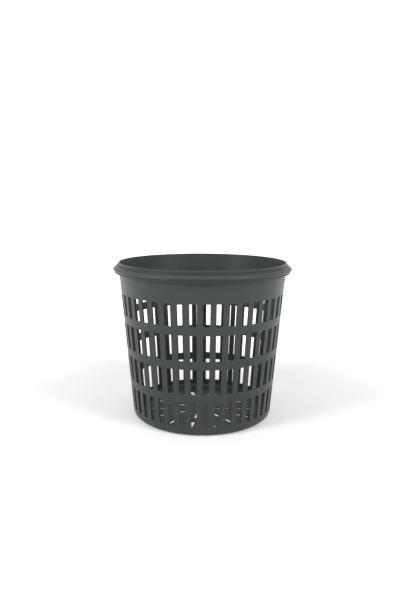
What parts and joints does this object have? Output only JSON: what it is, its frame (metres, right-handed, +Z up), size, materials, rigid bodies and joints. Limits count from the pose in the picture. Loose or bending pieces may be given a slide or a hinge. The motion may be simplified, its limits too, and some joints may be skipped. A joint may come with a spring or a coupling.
{
  "type": "hydroponic net pot",
  "caption": "Round tapered plastic basket with a rolled rim, rows of upright slots in the wall and drain slots in the floor; holds a plant and its growing medium.",
  "frame": {"origin": "centre of the underside of the floor, on the surface that the pot stands on", "axes": "+Z up along the pot's axis towards the mouth; -Y is the side with the small nib under the rim; +X to the right when that side is seen from the front"},
  "size_m": [0.15, 0.15, 0.132],
  "materials": {
    "pot_plastic": "satin dark grey moulded polypropylene"
  },
  "bodies": {
    "root": {"net_pot": "pot_plastic"}
  },
  "joints": []
}
